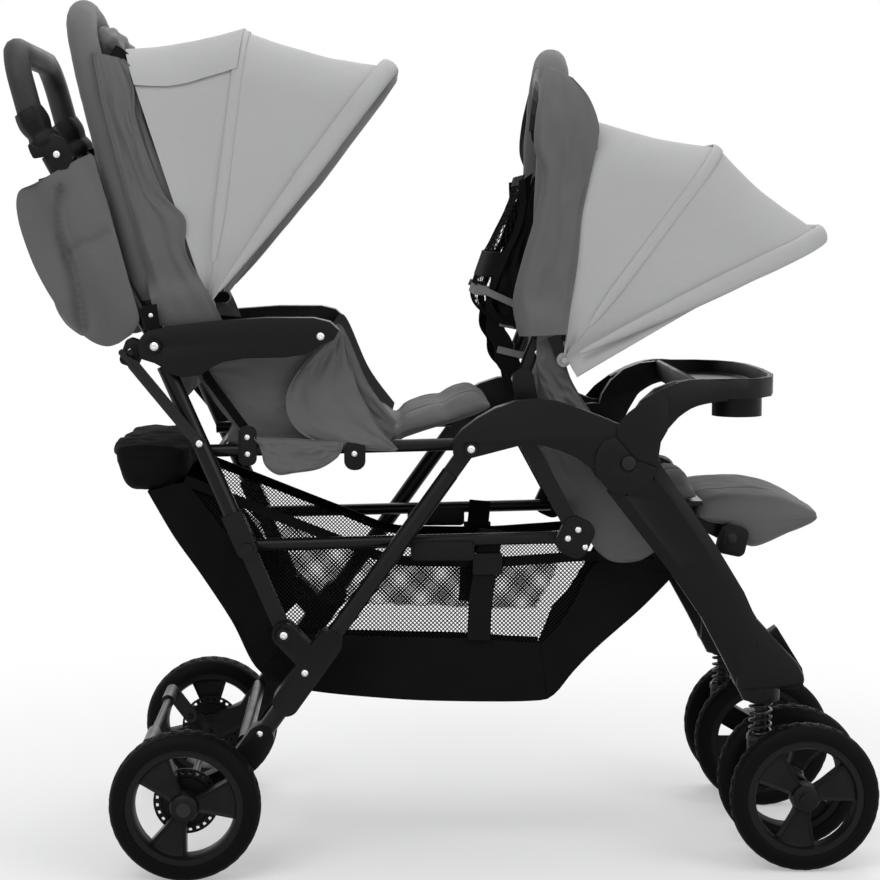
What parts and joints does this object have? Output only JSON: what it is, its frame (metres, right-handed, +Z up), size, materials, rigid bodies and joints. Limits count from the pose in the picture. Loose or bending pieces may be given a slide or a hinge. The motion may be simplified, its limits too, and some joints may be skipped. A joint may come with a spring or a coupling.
{
  "type": "tandem stroller",
  "caption": "Folding pushchair with a front and a rear seat in line, each with its own canopy, a shopping basket under the seats, a rear foot brake and swivelling front wheels.",
  "frame": {"origin": "floor point under the middle of the stroller's box", "axes": "+X forwards, the way the children face and the stroller rolls; +Y to the stroller's left; +Z up"},
  "size_m": [1.1001, 0.535, 1.1026],
  "materials": {
    "frame_paint": "satin",
    "black_plastic": "matte",
    "grey_plastic": "satin",
    "steel": "satin",
    "rivet_steel": "polished",
    "tyre": "matte",
    "foam_grip": "matte",
    "black_cloth": "woven",
    "dark_cloth": "woven",
    "light_cloth": "woven"
  },
  "bodies": {
    "rear_frame": {"rear_legs": "frame_paint", "fold_hubs": "black_plastic", "rear_axle_housings": "black_plastic", "rear_cross_tube": "frame_paint", "rear_axle": "steel", "pivot_pins": "rivet_steel", "basket": "black_cloth"},
    "rear_wheel_right": {"rear_tyre_right": "tyre", "rear_rim_right": "black_plastic"},
    "rear_wheel_left": {"rear_tyre_left": "tyre", "rear_rim_left": "black_plastic"},
    "brake": {"brake_bar": "steel"},
    "front_frame": {"front_bridge_right": "black_plastic", "front_bridge_left": "black_plastic", "front_leg_right": "black_plastic", "front_leg_left": "black_plastic", "front_seat_frame": "frame_paint", "front_seat_pad": "dark_cloth", "front_seat_sides": "dark_cloth", "front_harness": "black_plastic"},
    "lower_strut": {"lower_struts": "frame_paint"},
    "upper_strut": {"upper_struts": "frame_paint", "armrest_right": "black_plastic", "armrest_left": "black_plastic"},
    "rear_seat": {"seat_rails": "frame_paint", "rear_seat_pad": "dark_cloth", "rear_seat_sides": "dark_cloth", "rear_harness": "black_plastic"},
    "side_link": {"side_links": "frame_paint"},
    "handle": {"handle_tubes": "frame_paint", "handle_grip": "foam_grip", "storage_pouch": "dark_cloth"},
    "fold_release": {"release_triggers": "black_plastic"},
    "lock_hook": {"lock_hooks": "steel"},
    "rear_backrest": {"rear_hoop": "dark_cloth", "rear_back_pad": "dark_cloth", "rear_canopy": "light_cloth"},
    "rear_canopy_mid": {"rear_canopy_rib": "steel"},
    "rear_canopy_front": {"rear_canopy_bow": "light_cloth"},
    "front_backrest": {"front_hoop": "dark_cloth", "front_back_pad": "dark_cloth", "front_back_pouch": "black_cloth", "front_canopy": "light_cloth"},
    "front_canopy_mid": {"front_canopy_rib": "steel"},
    "front_canopy_front": {"front_canopy_bow": "light_cloth"},
    "tray": {"tray": "black_plastic"},
    "tray_release_right": {"tray_button_right": "grey_plastic"},
    "tray_release_left": {"tray_button_left": "grey_plastic"},
    "suspension_right": {"front_stem_right": "steel", "front_spring_right": "steel"},
    "suspension_left": {"front_stem_left": "steel", "front_spring_left": "steel"},
    "caster_right": {"caster_fork_right": "black_plastic"},
    "caster_left": {"caster_fork_left": "black_plastic"},
    "wheel_right_outer": {"front_wheel_right_outer": "tyre"},
    "wheel_right_inner": {"front_wheel_right_inner": "tyre"},
    "wheel_left_outer": {"front_wheel_left_outer": "tyre"},
    "wheel_left_inner": {"front_wheel_left_inner": "tyre"},
    "footrest": {"footrest_plate": "black_plastic", "footrest_pad": "dark_cloth"}
  },
  "joints": [
    {"name": "rear_wheel_right_spin", "type": "hinge", "parent": "rear_frame", "child": "rear_wheel_right", "pos_m": [-0.327, -0.24, 0.095], "axis": [0, 1, 0], "continuous": true},
    {"name": "rear_wheel_left_spin", "type": "hinge", "parent": "rear_frame", "child": "rear_wheel_left", "pos_m": [-0.327, 0.24, 0.095], "axis": [0, 1, 0], "continuous": true},
    {"name": "brake_pedal", "type": "hinge", "parent": "rear_frame", "child": "brake", "pos_m": [-0.352, 0, 0.12], "axis": [0, -1, 0], "range_deg": [0, 20]},
    {"name": "frame_fold", "type": "hinge", "parent": "rear_frame", "child": "front_frame", "pos_m": [0.03, 0, 0.539], "axis": [0, -1, 0], "range_deg": [0, 27]},
    {"name": "lower_strut_turn", "type": "hinge", "parent": "rear_frame", "child": "lower_strut", "pos_m": [-0.204, 0, 0.303], "axis": [0, 1, 0], "range_deg": [0, 23.03]},
    {"name": "upper_strut_turn", "type": "hinge", "parent": "lower_strut", "child": "upper_strut", "pos_m": [-0.25, 0, 0.411], "axis": [0, -1, 0], "range_deg": [0, 47.21]},
    {"name": "rear_seat_turn", "type": "hinge", "parent": "rear_frame", "child": "rear_seat", "pos_m": [0.03, 0, 0.539], "axis": [0, -1, 0], "range_deg": [0, 4.3]},
    {"name": "side_link_turn", "type": "hinge", "parent": "front_frame", "child": "side_link", "pos_m": [0.168, 0, 0.42], "axis": [0, 1, 0], "range_deg": [0, 18.07]},
    {"name": "handle_turn", "type": "hinge", "parent": "upper_strut", "child": "handle", "pos_m": [-0.361, 0, 0.666], "axis": [0, -1, 0], "range_deg": [-18, 0]},
    {"name": "fold_release_slide", "type": "slide", "parent": "handle", "child": "fold_release", "axis": [-0.4772, 0, 0.8788], "range_m": [0, 0.012], "stiffness_N_per_m": 600, "springref_m": -0.01},
    {"name": "lock_hook_turn", "type": "hinge", "parent": "upper_strut", "child": "lock_hook", "pos_m": [-0.30867, 0, 0.54578], "axis": [0, -1, 0], "range_deg": [0, 12.5]},
    {"name": "rear_recline", "type": "hinge", "parent": "handle", "child": "rear_backrest", "pos_m": [-0.361, 0, 0.666], "axis": [0, 1, 0], "range_deg": [-6, 0]},
    {"name": "rear_canopy_rib_turn", "type": "hinge", "parent": "rear_backrest", "child": "rear_canopy_mid", "pos_m": [-0.298, 0, 0.714], "axis": [0, -1, 0], "range_deg": [0, 15]},
    {"name": "rear_canopy_turn", "type": "hinge", "parent": "rear_canopy_mid", "child": "rear_canopy_front", "pos_m": [-0.298, 0, 0.714], "axis": [0, -1, 0], "range_deg": [0, 29], "deforming": ["rear_canopy"]},
    {"name": "front_recline", "type": "hinge", "parent": "front_frame", "child": "front_backrest", "pos_m": [0.099, 0, 0.62], "axis": [0, 1, 0], "range_deg": [-20, 12]},
    {"name": "front_canopy_rib_turn", "type": "hinge", "parent": "front_backrest", "child": "front_canopy_mid", "pos_m": [0.15, 0, 0.645], "axis": [0, -1, 0], "range_deg": [0, 15]},
    {"name": "front_canopy_turn", "type": "hinge", "parent": "front_canopy_mid", "child": "front_canopy_front", "pos_m": [0.15, 0, 0.645], "axis": [0, -1, 0], "range_deg": [0, 29], "deforming": ["front_canopy"]},
    {"name": "tray_turn", "type": "hinge", "parent": "front_frame", "child": "tray", "pos_m": [0.219, 0, 0.524], "axis": [0, -1, 0], "range_deg": [0, 25]},
    {"name": "tray_release_right_press", "type": "slide", "parent": "front_frame", "child": "tray_release_right", "axis": [0, 1, 0], "range_m": [0, 0.004], "stiffness_N_per_m": 400, "springref_m": -0.004},
    {"name": "tray_release_left_press", "type": "slide", "parent": "front_frame", "child": "tray_release_left", "axis": [0, -1, 0], "range_m": [0, 0.004], "stiffness_N_per_m": 400, "springref_m": -0.004},
    {"name": "suspension_right_travel", "type": "slide", "parent": "front_frame", "child": "suspension_right", "axis": [0, 0, 1], "range_m": [0, 0.018], "stiffness_N_per_m": 6000, "springref_m": -0.02, "deforming": ["front_spring_right"]},
    {"name": "suspension_left_travel", "type": "slide", "parent": "front_frame", "child": "suspension_left", "axis": [0, 0, 1], "range_m": [0, 0.018], "stiffness_N_per_m": 6000, "springref_m": -0.02, "deforming": ["front_spring_left"]},
    {"name": "caster_right_swivel", "type": "hinge", "parent": "suspension_right", "child": "caster_right", "pos_m": [0.405, -0.163, 0.13], "axis": [0, 0, 1], "continuous": true},
    {"name": "caster_left_swivel", "type": "hinge", "parent": "suspension_left", "child": "caster_left", "pos_m": [0.405, 0.163, 0.13], "axis": [0, 0, 1], "continuous": true},
    {"name": "wheel_right_outer_spin", "type": "hinge", "parent": "caster_right", "child": "wheel_right_outer", "pos_m": [0.453, -0.218, 0.095], "axis": [0, 1, 0], "continuous": true},
    {"name": "wheel_right_inner_spin", "type": "hinge", "parent": "caster_right", "child": "wheel_right_inner", "pos_m": [0.453, -0.108, 0.095], "axis": [0, 1, 0], "continuous": true},
    {"name": "wheel_left_outer_spin", "type": "hinge", "parent": "caster_left", "child": "wheel_left_outer", "pos_m": [0.453, 0.218, 0.095], "axis": [0, 1, 0], "continuous": true},
    {"name": "wheel_left_inner_spin", "type": "hinge", "parent": "caster_left", "child": "wheel_left_inner", "pos_m": [0.453, 0.108, 0.095], "axis": [0, 1, 0], "continuous": true},
    {"name": "footrest_turn", "type": "hinge", "parent": "front_frame", "child": "footrest", "pos_m": [0.371, 0, 0.412], "axis": [0, 1, 0], "range_deg": [0, 60]}
  ],
  "couplings": [
    {"joint": "lower_strut_turn", "follows": "frame_fold", "ratio": 0.8417},
    {"joint": "upper_strut_turn", "follows": "frame_fold", "ratio": 1.73},
    {"joint": "rear_seat_turn", "follows": "frame_fold", "ratio": 0.1481},
    {"joint": "side_link_turn", "follows": "frame_fold", "ratio": 0.658},
    {"joint": "lock_hook_turn", "follows": "fold_release_slide", "rad_per_m": 17.453},
    {"joint": "rear_canopy_rib_turn", "follows": "rear_canopy_turn", "ratio": 0.5},
    {"joint": "front_canopy_rib_turn", "follows": "front_canopy_turn", "ratio": 0.5}
  ]
}
